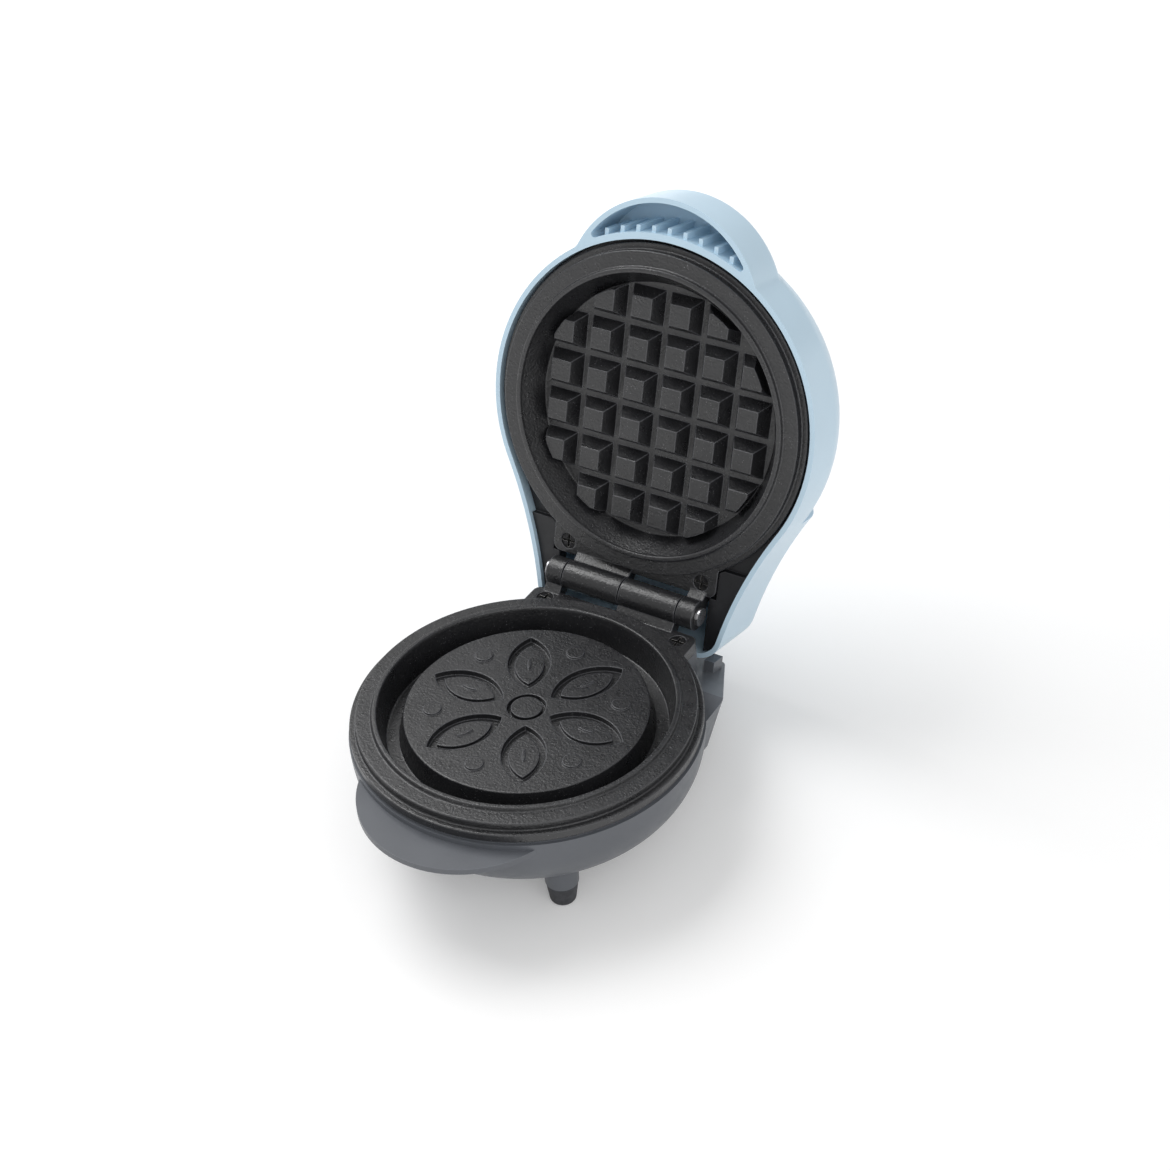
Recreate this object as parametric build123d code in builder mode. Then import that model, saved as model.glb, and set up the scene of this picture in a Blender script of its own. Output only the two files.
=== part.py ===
"""A small round waffle maker, open on its rear hinge, made of its separate pieces.

The origin is on the table, in the middle of the room the open maker takes up. +Z is up, the
lid's hinge is towards +Y and the casing's front lip is at the front on -Y. Both halves are drawn
in a frame of their own
that starts in the plane where the halves meet: Y runs to the hinge and Z runs away from that
plane, into the half. So one function can make the same piece for the lower and the upper half.
"""

from build123d import *
from math import cos, pi, radians, sin, sqrt
import os

# Overall places
meet_height = 50.0
hinge_distance = 67.2
open_angle = 105.0

# Cooking plates, measured out from the centre and away from the meeting plane
plate_radius = 61.0
plate_wall = 3.0
flange_depth = 4.9
flange_thickness = 3.2
ring_radius = 58.7
ring_depth = 2.0
bead_radius = 52.1
bead_width = 1.5
bead_depth = 0.5
bead_slope = 0.5
well_radius = 51.0
edge_rounding = 0.4
island_radius = 42.4
island_depth = 3.8
moat_inner = 44.4
moat_outer = 49.0
moat_depth = 12.0
waffle_radius = 46.4
waffle_depth = 10.5

# Waffle pegs
peg_pitch = 15.0
peg_count = 6
peg_base = 13.0
peg_top = 7.6
peg_tip_depth = 5.0
peg_reach = 45.0

# Relief on the island: petals, leaves and a button
petal_count = 6
petal_start = 9.5
petal_end = 38.0
petal_bulge = 7.6
petal_sunk = 2.2
petal_lip = 2.4
petal_point = 1.6
petal_raise = 1.3
vein_width = 1.2
vein_raise = 0.6
bud_ring = 32.5
bud_radius = 3.2
bud_raise = 0.7
button_radius = 5.4
button_groove = 1.4

# Hinge
barrel_radius = 5.5
barrel_half = 30.5
knuckle_split = 23.5
knuckle_gap = 0.5
pin_radius = 2.0
pin_fit = 0.05
pin_head_radius = 3.4
pin_head_length = 1.4
pin_end_gap = 0.15
ear_half_width = 34.0
ear_rear = 61.3
ear_front = 47.0
ear_thickness = 4.6
ear_corner = 3.0
arm_front = 57.5
arm_slope = 1.5

# Screws
screw_radius = 1.5
screw_head_radius = 2.9
screw_head_length = 1.8
screw_recess = 0.4
screw_clearance = 0.15
cross_width = 0.8
cross_depth = 1.0
hinge_screw_x = 27.9
hinge_screw_y = 56.6
hinge_screw_length = 12.0

# Lower casing
casing_radius = 61.6
casing_rim_depth = 8.9
casing_bowl = 38.0
casing_fullness = 2.5
casing_wall = 2.2
seat_inner = 57.0
seat_height = 4.4
ear_gap = 0.3
lip_radius = 37.6
lip_centre = 36.8
lip_depth = 11.0
lip_edge = 2.2
lip_low_radius = 20.0
lip_low_centre = 27.0
lip_drop = 21.0
lip_slant = 1.65
tail_shoulder_x = 51.6
tail_shoulder_y = 46.0
tail_rear_x = 37.5
tail_rear_y = 82.0
tail_start_y = 20.0
tail_top_depth = 15.5
tail_low_depth = 38.0
tail_taper = 14.0
tail_corner = 7.0
deck_start_y = 47.5
deck_bend_y = 64.0
deck_bend_depth = 22.5
deck_end_depth = 29.5
pedestal_half_width = 33.0
pedestal_height = 15.0
pedestal_bore = 12.5
stop_x = 35.0
stop_width = 4.0
stop_gap = 0.35
stop_start = 5.0
stop_end = 12.0
stop_root = 7.0
column_x = 20.0
column_y = 36.0
column_radius = 4.2
column_boss = 4.0
column_screw_length = 22.0

# Feet
front_foot_x = 32.5
front_foot_y = 33.5
rear_foot_x = 26.0
rear_foot_y = 63.0
foot_top_radius = 5.6
foot_low_radius = 4.4
foot_rounding = 1.5
foot_neck_radius = 2.5
foot_neck_gap = 0.05
foot_barb_radius = 3.4
foot_barb_length = 2.0
foot_height = 9.0
foot_socket_radius = 5.8
foot_socket_length = 9.0

# Cord inlet
inlet_radius = 3.5
inlet_wall = 1.4
inlet_flange = 2.0
inlet_depth = 31.5
inlet_length = 9.0
inlet_boss = 2.2
inlet_rear = 80.0

# Cover
cover_radius = 64.0
cover_wall = 1.8
cover_rim_depth = 4.0
cover_top_depth = 39.0
cover_shoulder = 18.0
cover_boss_radius = 4.0
handle_radius = 37.8
handle_centre = 39.2
handle_top_depth = 26.0
handle_shoulder = 4.5
scoop_ceiling = 3.5
handle_notch = 5.0
scoop_wall_radius = 64.6
scoop_corner = 1.2
rib_count = 9
rib_pitch = 6.05
rib_width = 1.5
rib_reach = 2.2
rib_start_depth = 5.5
cover_tail_start_x = 56.0
cover_tail_end_x = 37.3
cover_tail_rear = 85.6
cover_tail_corner = 10.0
cover_tail_shoulder = 9.0

# Upper liner
liner_gap = 0.3
liner_thickness = 3.0
liner_bore = 55.5
liner_slot_half = 31.6
prong_depth = 5.6
prong_front = 50.0
liner_screw_ring = 58.4
liner_screw_angles = (180.0, 270.0, 360.0)
liner_screw_radius = 1.2
liner_screw_head = 2.2
liner_screw_length = 4.2
landing_angles = (-150.0, -112.0, -68.0, -30.0)
landing_width = 2.0
landing_reach = 3.2
landing_height = 10.0

# Heating parts, the same in both halves
element_ring = 31.0
element_radius = 3.2
element_slack = 0.02
element_gap_angle = 34.0
element_collar_radius = 3.6
element_tip_radius = 1.1
element_tip_length = 4.0
element_tail_proud = 2.0
post_radius = 3.4
post_ring = 20.0
post_count = 3
post_short = 0.4
clamp_radius = 36.0
clamp_window = 12.0
clamp_thickness = 1.5
clamp_notch_width = 30.0
clamp_notch_start = 25.2
spacer_radius = 3.0
lower_spacer_length = 6.0
upper_spacer_length = 4.6
shield_radius = 48.5
shield_wall = 0.8
shield_rim = 6.0
shield_hole_gap = 0.8
shield_screw_length = 12.5

# Electrical parts
thermostat_radius = 8.0
thermostat_height = 6.0
thermostat_cap_radius = 6.0
thermostat_cap_height = 2.5
blade_width = 4.0
blade_thickness = 0.8
blade_length = 4.0
fuse_radius = 1.9
fuse_length = 13.0
fuse_tip_radius = 1.0
fuse_tip_length = 3.0
fuse_x = 26.0
terminal_length = 22.0
terminal_width = 11.0
terminal_height = 10.0
terminal_y = 12.0
terminal_floor = 38.0
terminal_ways = 3
terminal_hole = 1.5
terminal_screw_radius = 1.1
lens_radius = 3.4
lens_y = -40.0
lens_proud = 0.8
lens_flange = 1.2
lamp_radius = 2.6
lamp_length = 9.0

os.makedirs("parts", exist_ok=True)

flange_back = flange_depth + flange_thickness
turn = radians(open_angle)
lid_back = hinge_distance * (1 - cos(turn))
shoulder_reach = cover_shoulder - (cover_radius - cover_shoulder) * cos(turn)
rear_reach = lid_back + shoulder_reach + (cover_top_depth - cover_shoulder) * sin(turn)
plate_y = (lip_centre + lip_radius - rear_reach) / 2
lower_half = Plane(origin=(0, plate_y, meet_height), x_dir=(-1, 0, 0), z_dir=(0, 0, -1))
upper_half = Plane(
    origin=(0, plate_y + lid_back, meet_height + hinge_distance * sin(turn)),
    x_dir=(1, 0, 0),
    z_dir=(0, sin(turn), cos(turn)),
)


ear_back = flange_depth + ear_thickness
island_back = island_depth + petal_sunk + plate_wall
waffle_back = waffle_depth + plate_wall
moat_back = moat_depth + plate_wall
liner_back = flange_back + liner_thickness
casing_base = casing_rim_depth + casing_bowl
foot_seat = meet_height - foot_height
knuckle_spans = [(-knuckle_split, -knuckle_gap / 2), (knuckle_split + knuckle_gap, barrel_half)]
hinge_screw_spots = [(-hinge_screw_x, hinge_screw_y), (hinge_screw_x, hinge_screw_y)]
column_spots = [(-column_x, -column_y), (column_x, -column_y)]
foot_spots = [(x, -front_foot_y) for x in (-front_foot_x, front_foot_x)]
foot_spots += [(x, rear_foot_y) for x in (-rear_foot_x, rear_foot_x)]


def section(half, x=0.0):
    """Plane through a half's axis: sketch X is the radius, sketch Y the depth into the half."""
    return Plane(origin=half.from_local_coords((x, 0, 0)), x_dir=half.x_dir, z_dir=-half.y_dir)


def side(half, x):
    """Plane across the hinge at x: sketch X runs to the hinge, sketch Y into the half."""
    return Plane(origin=half.from_local_coords((x, 0, 0)), x_dir=half.y_dir, z_dir=half.x_dir)


def axis_of(half):
    """The half's own upright axis."""
    return Axis(half.origin, half.z_dir)


def save(piece, name):
    """Name a finished piece and write it."""
    piece.part.label = name
    export_step(piece.part, f"parts/{name}.step")


def plate_blank(half, front, back, post_root):
    """A plate with its rim, hinge ears, two knuckles and posts, without the pattern it cooks.

    The rim is the same on both plates. The short knuckle is on +X and the long one on -X.
    """
    bead_inner = bead_radius - bead_width / 2
    bead_outer = bead_radius + bead_width / 2
    rim = [
        (well_radius, bead_depth + 2 * bead_slope),
        (bead_inner, bead_depth),
        (bead_outer, bead_depth),
        (bead_outer + bead_slope, ring_depth),
        (ring_radius, ring_depth),
        (ring_radius, flange_depth),
        (plate_radius, flange_depth),
        (plate_radius, flange_back),
    ]
    with BuildPart() as blank:
        with BuildSketch(section(half)) as outline:
            with BuildLine():
                Polyline(*front, *rim, *back, close=True)
            make_face()
            fillet(outline.vertices().filter_by(lambda v: v.X > edge_rounding), edge_rounding)
        revolve(axis=axis_of(half))
        with BuildSketch(half.offset(flange_depth)):
            with Locations((0, (ear_front + ear_rear) / 2)):
                RectangleRounded(2 * ear_half_width, ear_rear - ear_front, ear_corner)
            Circle(well_radius + plate_wall, mode=Mode.SUBTRACT)
        extrude(amount=ear_thickness)
        for start, end in knuckle_spans:
            with BuildSketch(side(half, start)):
                with BuildLine():
                    Polyline(
                        (arm_front, flange_depth),
                        (ear_rear - arm_slope, flange_depth),
                        (hinge_distance - barrel_radius + arm_slope, arm_slope),
                        (hinge_distance, 0),
                        (hinge_distance, barrel_radius),
                        (ear_rear, ear_back),
                        (arm_front, ear_back),
                        close=True,
                    )
                make_face()
                with Locations((hinge_distance, 0)):
                    Circle(barrel_radius)
            extrude(amount=end - start)
        with BuildSketch(side(half, -barrel_half)):
            with Locations((hinge_distance, 0)):
                Circle(pin_radius + pin_fit)
        extrude(amount=2 * barrel_half, mode=Mode.SUBTRACT)
        with BuildSketch(half.offset(flange_depth)):
            with Locations(*hinge_screw_spots):
                Circle(screw_head_radius + screw_clearance)
        extrude(amount=screw_recess + screw_head_length, mode=Mode.SUBTRACT)
        with BuildSketch(half.offset(flange_depth)):
            with Locations(*hinge_screw_spots):
                Circle(screw_radius + screw_clearance)
        extrude(amount=ear_thickness, mode=Mode.SUBTRACT)
        with BuildSketch(half.offset(post_root)):
            with Locations(*post_spots):
                Circle(post_radius)
        extrude(amount=2 * element_radius - post_short)
        with BuildSketch(half.offset(post_root + element_radius / 2)):
            with Locations(*post_spots):
                Circle(screw_radius)
        extrude(amount=2 * element_radius, mode=Mode.SUBTRACT)
    return blank.part


def screws(half, spots, head_depth, length, name, toward=1, radius=screw_radius, head=screw_head_radius):
    """Write a set of cross-head screws. The head starts at head_depth, the shank runs toward."""
    with BuildPart() as screw_set:
        with BuildSketch(half.offset(head_depth)):
            with Locations(*spots):
                Circle(head)
        extrude(amount=toward * screw_head_length)
        with BuildSketch(half.offset(head_depth)):
            with Locations(*spots):
                Circle(radius)
        extrude(amount=toward * length)
        with BuildSketch(half.offset(head_depth)):
            with Locations(*spots):
                Rectangle(2 * head - cross_width, cross_width)
                Rectangle(cross_width, 2 * head - cross_width)
        extrude(amount=toward * cross_depth, mode=Mode.SUBTRACT)
    save(screw_set, name)


def ring_spots(radius, angles):
    """Points on a circle at the given angles in degrees."""
    return [(radius * cos(radians(a)), radius * sin(radians(a))) for a in angles]


post_spots = ring_spots(post_ring, [90 + 360 * i / post_count for i in range(post_count)])
tail_spots = ring_spots(element_ring, (90 - element_gap_angle / 2, 90 + element_gap_angle / 2))
liner_screw_spots = ring_spots(liner_screw_ring, liner_screw_angles)


def heating_parts(half, back, spacer_length, extra_holes, word):
    """Write a half's heating element, its clamp, the spacers, the shield and their screws."""
    clamp_depth = back + 2 * element_radius
    spacer_depth = clamp_depth + clamp_thickness
    shield_depth = spacer_depth + spacer_length
    tail_end = shield_depth + shield_wall + element_tail_proud

    with BuildPart() as element:
        start = radians(90 + element_gap_angle / 2)
        outward = half.x_dir * cos(start) + half.y_dir * sin(start)
        with BuildSketch(Plane(origin=half.origin, x_dir=outward, z_dir=outward.cross(half.z_dir))):
            with Locations((element_ring, back + element_radius)):
                Circle(element_radius - element_slack)
        revolve(axis=axis_of(half), revolution_arc=360 - element_gap_angle)
        with BuildSketch(half.offset(back)):
            with Locations(*tail_spots):
                Circle(element_collar_radius)
        extrude(amount=tail_end - back)
        with BuildSketch(half.offset(tail_end)):
            with Locations(*tail_spots):
                Circle(element_tip_radius)
        extrude(amount=element_tip_length)
    save(element, f"{word}_heating_element")

    with BuildPart() as clamp:
        with BuildSketch(half.offset(clamp_depth)):
            Circle(clamp_radius)
            Circle(clamp_window, mode=Mode.SUBTRACT)
            with Locations((0, clamp_radius)):
                Rectangle(clamp_notch_width, 2 * (clamp_radius - clamp_notch_start), mode=Mode.SUBTRACT)
            with Locations(*post_spots):
                Circle(screw_radius + screw_clearance, mode=Mode.SUBTRACT)
        extrude(amount=clamp_thickness)
    save(clamp, f"{word}_element_clamp")

    with BuildPart() as spacers:
        with BuildSketch(half.offset(spacer_depth)):
            with Locations(*post_spots):
                Circle(spacer_radius)
                Circle(screw_radius + screw_clearance, mode=Mode.SUBTRACT)
        extrude(amount=spacer_length)
    save(spacers, f"{word}_shield_spacers")

    with BuildPart() as shield:
        with BuildSketch(section(half)):
            with BuildLine():
                Polyline(
                    (0, shield_depth),
                    (shield_radius - shield_wall, shield_depth),
                    (shield_radius - shield_wall, shield_depth - shield_rim),
                    (shield_radius, shield_depth - shield_rim),
                    (shield_radius, shield_depth + shield_wall),
                    (0, shield_depth + shield_wall),
                    close=True,
                )
            make_face()
        revolve(axis=axis_of(half))
        with BuildSketch(half.offset(shield_depth)):
            with Locations(*post_spots):
                Circle(screw_radius + screw_clearance)
            with Locations(*tail_spots):
                Circle(element_collar_radius + shield_hole_gap)
            for spots, hole in extra_holes:
                with Locations(*spots):
                    Circle(hole)
        extrude(amount=shield_wall, mode=Mode.SUBTRACT)
    save(shield, f"{word}_heat_shield")

    head_depth = shield_depth + shield_wall + screw_head_length
    screws(half, post_spots, head_depth, shield_screw_length, f"{word}_shield_screws", toward=-1)


def petal(inset):
    """One leaf-shaped petal along sketch X, between two equal arcs, drawn in by inset."""
    start = petal_start + petal_point * inset
    end = petal_end - petal_point * inset
    middle = (petal_start + petal_end) / 2
    with BuildSketch() as shape:
        with BuildLine():
            ThreePointArc((start, 0), (middle, petal_bulge - inset), (end, 0))
            ThreePointArc((end, 0), (middle, inset - petal_bulge), (start, 0))
        make_face()
    return shape.sketch


# The lower plate: an island inside a moat, with the petal relief
with BuildPart() as lower_plate:
    front = [
        (0, island_depth),
        (island_radius, island_depth),
        (moat_inner, moat_depth),
        (moat_outer, moat_depth),
    ]
    back = [
        (well_radius + plate_wall, flange_back),
        (moat_outer + plate_wall, moat_back),
        (moat_inner - plate_wall, moat_back),
        (moat_inner - plate_wall - 1, island_back),
        (0, island_back),
    ]
    add(plate_blank(lower_half, front, back, island_back))
    with BuildSketch(lower_half.offset(moat_depth + edge_rounding)):
        with Locations(*column_spots):
            Circle(column_radius)
    extrude(amount=plate_wall - edge_rounding + column_boss)
    with BuildSketch(lower_half.offset(moat_back)):
        with Locations(*column_spots):
            Circle(screw_radius)
    extrude(amount=column_boss, mode=Mode.SUBTRACT)
    with BuildSketch(lower_half.offset(island_depth)):
        with PolarLocations(0, petal_count):
            add(petal(0))
        Circle(button_radius + button_groove)
    extrude(amount=petal_sunk, mode=Mode.SUBTRACT)
    with BuildSketch(lower_half.offset(island_depth + petal_sunk)):
        with PolarLocations(0, petal_count):
            add(petal(petal_lip))
    extrude(amount=-petal_raise)
    with BuildSketch(lower_half.offset(island_depth + petal_sunk - petal_raise)):
        with PolarLocations(0, petal_count):
            add(petal(petal_bulge - vein_width / 2))
    extrude(amount=-vein_raise)
    with BuildSketch(lower_half.offset(island_depth + petal_sunk)):
        Circle(button_radius)
    extrude(amount=-petal_sunk)
    with BuildSketch(lower_half.offset(island_depth)):
        with PolarLocations(bud_ring, petal_count, 180 / petal_count):
            Circle(bud_radius)
    extrude(amount=-bud_raise)
save(lower_plate, "lower_plate")

# The upper plate: a sloping well with pegs that are cut off by its round edge
peg_half_count = (peg_count - 1) / 2
peg_spots = [
    ((i - peg_half_count) * peg_pitch, (j - peg_half_count) * peg_pitch)
    for i in range(peg_count)
    for j in range(peg_count)
]
with BuildPart() as pegs:
    for x, y in peg_spots:
        if x * x + y * y < peg_reach * peg_reach:
            with BuildSketch(upper_half.offset(waffle_depth)):
                with Locations((x, y)):
                    Rectangle(peg_base, peg_base)
            with BuildSketch(upper_half.offset(peg_tip_depth)):
                with Locations((x, y)):
                    Rectangle(peg_top, peg_top)
            loft()
    with BuildSketch(upper_half.offset(peg_tip_depth)):
        Circle(waffle_radius - edge_rounding)
    extrude(amount=waffle_depth - peg_tip_depth, mode=Mode.INTERSECT)
with BuildPart() as upper_plate:
    front = [(0, waffle_depth), (waffle_radius, waffle_depth)]
    back = [
        (well_radius + plate_wall, flange_back),
        (waffle_radius + plate_wall, waffle_back),
        (0, waffle_back),
    ]
    add(plate_blank(upper_half, front, back, waffle_back))
    add(pegs.part)
    with BuildSketch(upper_half.offset(flange_back)):
        with Locations(*liner_screw_spots):
            Circle(liner_screw_radius)
    extrude(amount=-liner_screw_length / 2, mode=Mode.SUBTRACT)
save(upper_plate, "upper_plate")

# Hinge pin, with a head formed at each end
with BuildPart() as hinge_pin:
    with BuildSketch(side(lower_half, -barrel_half - pin_end_gap)):
        with Locations((hinge_distance, 0)):
            Circle(pin_radius)
    extrude(amount=2 * (barrel_half + pin_end_gap))
    for start in (-barrel_half - pin_end_gap - pin_head_length, barrel_half + pin_end_gap):
        with BuildSketch(side(lower_half, start)):
            with Locations((hinge_distance, 0)):
                Circle(pin_head_radius)
        extrude(amount=pin_head_length)
save(hinge_pin, "hinge_pin")

# The hinge screws of both halves
hinge_head_depth = flange_depth + screw_recess
screws(lower_half, hinge_screw_spots, hinge_head_depth, hinge_screw_length, "lower_hinge_screws")
screws(upper_half, hinge_screw_spots, hinge_head_depth, hinge_screw_length, "upper_hinge_screws")


def bowl_form(inset):
    """The casing's bowl, turned from a rounded curve between a circle's and a square's."""
    power = 2 / casing_fullness
    steps = [pi / 2 * i / 8 for i in range(9)]
    curve = [
        (
            (casing_radius - inset) * max(cos(t), 0) ** power,
            casing_rim_depth + (casing_bowl - inset) * sin(t) ** power,
        )
        for t in steps
    ]
    curve[-1] = (0, casing_base - inset)
    with BuildPart() as bowl:
        with BuildSketch(section(lower_half)):
            with BuildLine():
                Spline(*curve, tangents=[(0, 1), (-1, 0)])
                Polyline(curve[-1], (0, casing_rim_depth), curve[0])
            make_face()
        revolve(axis=axis_of(lower_half))
    return bowl.part


def lip_form(inset):
    """The casing's front lip: a round ledge whose underside runs back into the bowl."""
    slant = lip_slant * inset
    with BuildPart() as lip:
        if inset == 0:
            with BuildSketch(lower_half.offset(lip_depth)):
                with Locations((0, -lip_centre)):
                    Circle(lip_radius)
            extrude(amount=lip_edge)
        with BuildSketch(lower_half.offset(lip_depth + lip_edge)):
            with Locations((0, -lip_centre)):
                Circle(lip_radius - slant)
        with BuildSketch(lower_half.offset(lip_depth + lip_edge + lip_drop - slant)):
            with Locations((0, -lip_low_centre)):
                Circle(lip_low_radius - inset / 2)
        loft()
    return lip.part


def tail_form(inset):
    """The casing's tail below the hinge, with a deck that slopes down under the open lid."""
    with BuildPart() as tail:
        with BuildSketch(lower_half.offset(tail_top_depth + inset)) as outline:
            with BuildLine():
                Polyline(
                    (tail_shoulder_x, tail_start_y),
                    (tail_shoulder_x, tail_shoulder_y),
                    (tail_rear_x, tail_rear_y),
                    (-tail_rear_x, tail_rear_y),
                    (-tail_shoulder_x, tail_shoulder_y),
                    (-tail_shoulder_x, tail_start_y),
                    close=True,
                )
            make_face()
            fillet(outline.vertices().filter_by(lambda v: v.Y > tail_start_y + 1), tail_corner)
            if inset > 0:
                offset(amount=-inset, kind=Kind.INTERSECTION)
        extrude(amount=tail_low_depth - tail_top_depth - 2 * inset, taper=tail_taper)
        with BuildSketch(side(lower_half, -cover_radius)):
            with BuildLine():
                Polyline(
                    (deck_start_y, 0),
                    (2 * tail_rear_y, 0),
                    (2 * tail_rear_y, deck_end_depth + inset),
                    (tail_rear_y, deck_end_depth + inset),
                    (deck_bend_y, deck_bend_depth + inset),
                    (deck_start_y, tail_top_depth + inset),
                    close=True,
                )
            make_face()
        extrude(amount=2 * cover_radius, mode=Mode.SUBTRACT)
    return tail.part


# The casing's outer form, then its bosses, which end inside the outer form
with BuildPart() as casing_outer:
    add(bowl_form(0))
    add(lip_form(0))
    add(tail_form(0))
with BuildPart() as casing_bosses:
    with BuildSketch(lower_half.offset(moat_back + column_boss)):
        with Locations(*column_spots):
            Circle(column_radius)
    extrude(amount=casing_base)
    with BuildSketch(lower_half.offset(foot_seat - foot_socket_length)):
        with Locations(*foot_spots):
            Circle(foot_socket_radius)
    extrude(amount=foot_socket_length)
    with BuildSketch(lower_half.offset(terminal_floor)):
        with Locations((0, terminal_y)):
            Rectangle(terminal_length, terminal_width)
    extrude(amount=casing_base)
    add(casing_outer.part, mode=Mode.INTERSECT)

with BuildPart() as lower_casing:
    add(casing_outer.part)
    add(bowl_form(casing_wall), mode=Mode.SUBTRACT)
    add(lip_form(casing_wall), mode=Mode.SUBTRACT)
    add(tail_form(casing_wall), mode=Mode.SUBTRACT)
    with BuildSketch(lower_half.offset(flange_back)):
        Circle(casing_radius - casing_wall / 2)
        Circle(seat_inner, mode=Mode.SUBTRACT)
    extrude(amount=seat_height)
    with BuildSketch(lower_half.offset(ear_back)):
        with Locations((0, (ear_front + ear_rear) / 2)):
            Rectangle(2 * pedestal_half_width, ear_rear - ear_front)
        Circle(well_radius + plate_wall + 2 * ear_gap, mode=Mode.SUBTRACT)
    extrude(amount=pedestal_height)
    with BuildSketch(lower_half):
        with Locations((0, (ear_front + ear_rear) / 2)):
            Rectangle(2 * (ear_half_width + ear_gap), ear_rear - ear_front + 2 * ear_gap + 2)
    extrude(amount=ear_back, mode=Mode.SUBTRACT)
    add(casing_bosses.part)
    with BuildSketch(lower_half.offset(foot_seat - foot_socket_length)):
        with Locations(*foot_spots):
            Circle(foot_socket_radius)
    extrude(amount=foot_socket_length)
    for x in (-stop_x - stop_width / 2, stop_x - stop_width / 2):
        with BuildSketch(side(upper_half, x)):
            with Locations((cover_tail_rear + stop_gap + stop_root / 2, (stop_start + stop_end) / 2)):
                Rectangle(stop_root, stop_end - stop_start)
        extrude(amount=stop_width)
    rear_wall = Plane(
        origin=(0, plate_y + inlet_rear, meet_height - inlet_depth), x_dir=(1, 0, 0), z_dir=(0, -1, 0)
    )
    with BuildSketch(rear_wall):
        Circle(inlet_radius + inlet_wall + inlet_boss)
    extrude(amount=inlet_length)
    with BuildSketch(rear_wall):
        Circle(inlet_radius + inlet_wall + pin_fit)
    extrude(amount=2 * inlet_length, mode=Mode.SUBTRACT)
    with BuildSketch(lower_half.offset(ear_back)):
        with Locations(*hinge_screw_spots):
            Circle(screw_radius)
    extrude(amount=pedestal_bore, mode=Mode.SUBTRACT)
    with BuildSketch(lower_half.offset(moat_back + column_boss)):
        with Locations(*column_spots):
            Circle(screw_radius + screw_clearance)
    extrude(amount=casing_base, mode=Mode.SUBTRACT)
    column_head_depth = moat_back + column_screw_length
    with BuildSketch(lower_half.offset(column_head_depth - screw_head_length)):
        with Locations(*column_spots):
            Circle(screw_head_radius + screw_clearance)
    extrude(amount=casing_base, mode=Mode.SUBTRACT)
    with BuildSketch(lower_half):
        with Locations(*foot_spots):
            Circle(foot_neck_radius + foot_neck_gap)
    extrude(amount=foot_seat, mode=Mode.SUBTRACT)
save(lower_casing, "lower_casing")
screws(lower_half, column_spots, column_head_depth, column_screw_length, "casing_screws", toward=-1)

# Four pegs to stand on, each pulled into its socket by a neck with a barb
with BuildPart() as feet:
    for x, y in foot_spots:
        own = Plane(origin=lower_half.from_local_coords((x, y, 0)), x_dir=(-1, 0, 0), z_dir=(0, 0, -1))
        barb_depth = foot_seat - foot_socket_length
        with BuildSketch(section(own)) as outline:
            with BuildLine():
                Polyline(
                    (0, barb_depth - foot_barb_length),
                    (foot_neck_radius, barb_depth - foot_barb_length),
                    (foot_barb_radius, barb_depth),
                    (foot_neck_radius, barb_depth),
                    (foot_neck_radius, foot_seat),
                    (foot_top_radius, foot_seat),
                    (foot_low_radius, meet_height),
                    (0, meet_height),
                    close=True,
                )
            make_face()
            low_rim = outline.vertices().filter_by(lambda v: v.X > foot_rounding).sort_by(Axis.Y)[-1]
            fillet(low_rim, foot_rounding)
        revolve(axis=axis_of(own))
save(feet, "feet")

# The bushing that lines the cord's way out
with BuildPart() as cord_bushing:
    with BuildSketch(rear_wall.offset(-inlet_flange)):
        Circle(inlet_radius + inlet_wall + inlet_boss - 1)
    extrude(amount=inlet_flange)
    with BuildSketch(rear_wall):
        Circle(inlet_radius + inlet_wall)
    extrude(amount=inlet_length)
    with BuildSketch(rear_wall.offset(-inlet_flange)):
        Circle(inlet_radius)
    extrude(amount=inlet_flange + inlet_length, mode=Mode.SUBTRACT)
    fillet(cord_bushing.edges().group_by(Axis.Y)[-1], inlet_flange / 3)
save(cord_bushing, "cord_bushing")


def cover_form(inset):
    """The cover's body: a round cap with a flared tail, both rounded over at the top."""
    start_y = sqrt(cover_radius**2 - cover_tail_start_x**2)
    radius = cover_radius - inset
    top = cover_top_depth - inset
    shoulder = cover_shoulder - inset
    middle = shoulder * (1 - sin(pi / 4))
    with BuildPart() as body:
        with BuildSketch(upper_half.offset(cover_rim_depth)) as outline:
            with BuildLine():
                for s in (-1, 1):
                    TangentArc(
                        (s * cover_tail_start_x, start_y),
                        (s * cover_tail_end_x, cover_tail_rear),
                        tangent=(-s * start_y, cover_tail_start_x),
                    )
                Line((cover_tail_end_x, cover_tail_rear), (-cover_tail_end_x, cover_tail_rear))
                Polyline((-cover_tail_start_x, start_y), (0, 0), (cover_tail_start_x, start_y))
            make_face()
            corners = outline.vertices().filter_by(lambda v: v.Y > cover_tail_rear - 1)
            fillet(corners, cover_tail_corner)
            if inset > 0:
                offset(amount=-inset, kind=Kind.INTERSECTION)
        extrude(amount=top - cover_rim_depth)
        top_edges = body.faces().sort_by(axis_of(upper_half))[-1].edges()
        rear_edges = top_edges.filter_by(lambda e: upper_half.to_local_coords(e.center()).Y > start_y)
        fillet(rear_edges, cover_tail_shoulder - inset)
        with BuildSketch(section(upper_half)):
            with BuildLine():
                Polyline((radius, top - shoulder), (radius, cover_rim_depth), (0, cover_rim_depth), (0, top))
                Line((0, top), (radius - shoulder, top))
                ThreePointArc((radius - shoulder, top), (radius - middle, top - middle), (radius, top - shoulder))
            make_face()
        revolve(axis=axis_of(upper_half))
    return body.part


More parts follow.
